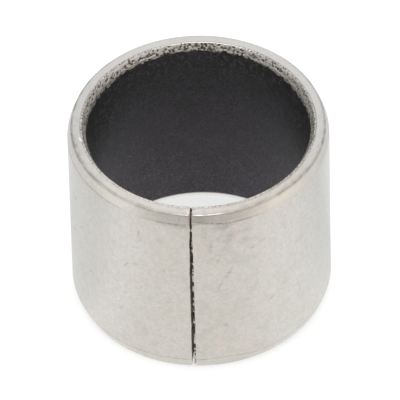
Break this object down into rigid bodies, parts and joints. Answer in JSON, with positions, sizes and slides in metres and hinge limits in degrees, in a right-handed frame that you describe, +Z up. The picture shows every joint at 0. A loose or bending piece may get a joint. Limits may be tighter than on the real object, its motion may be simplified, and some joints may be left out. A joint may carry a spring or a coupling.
{
  "type": "plain bearing bushing",
  "caption": "Plain cylindrical sleeve bearing, rolled from steel-backed strip, with a dark self-lubricating lined bore, an open butt seam and chamfered ends.",
  "frame": {"origin": "centre of the lower end face, on the axis of the bore", "axes": "+Z up along the bore; the butt seam faces -Y; +X is to the right of the seam as the seam is faced"},
  "size_m": [0.014, 0.014, 0.0115],
  "materials": {
    "tin_plated_steel": "satin tin plate on rolled low-carbon steel, with fine handling marks",
    "ptfe_bronze": "matte dark PTFE face over sintered bronze, with bronze grains showing at the chamfered ends"
  },
  "bodies": {
    "root": {"steel_backing": "tin_plated_steel", "bearing_liner": "ptfe_bronze"}
  },
  "joints": []
}
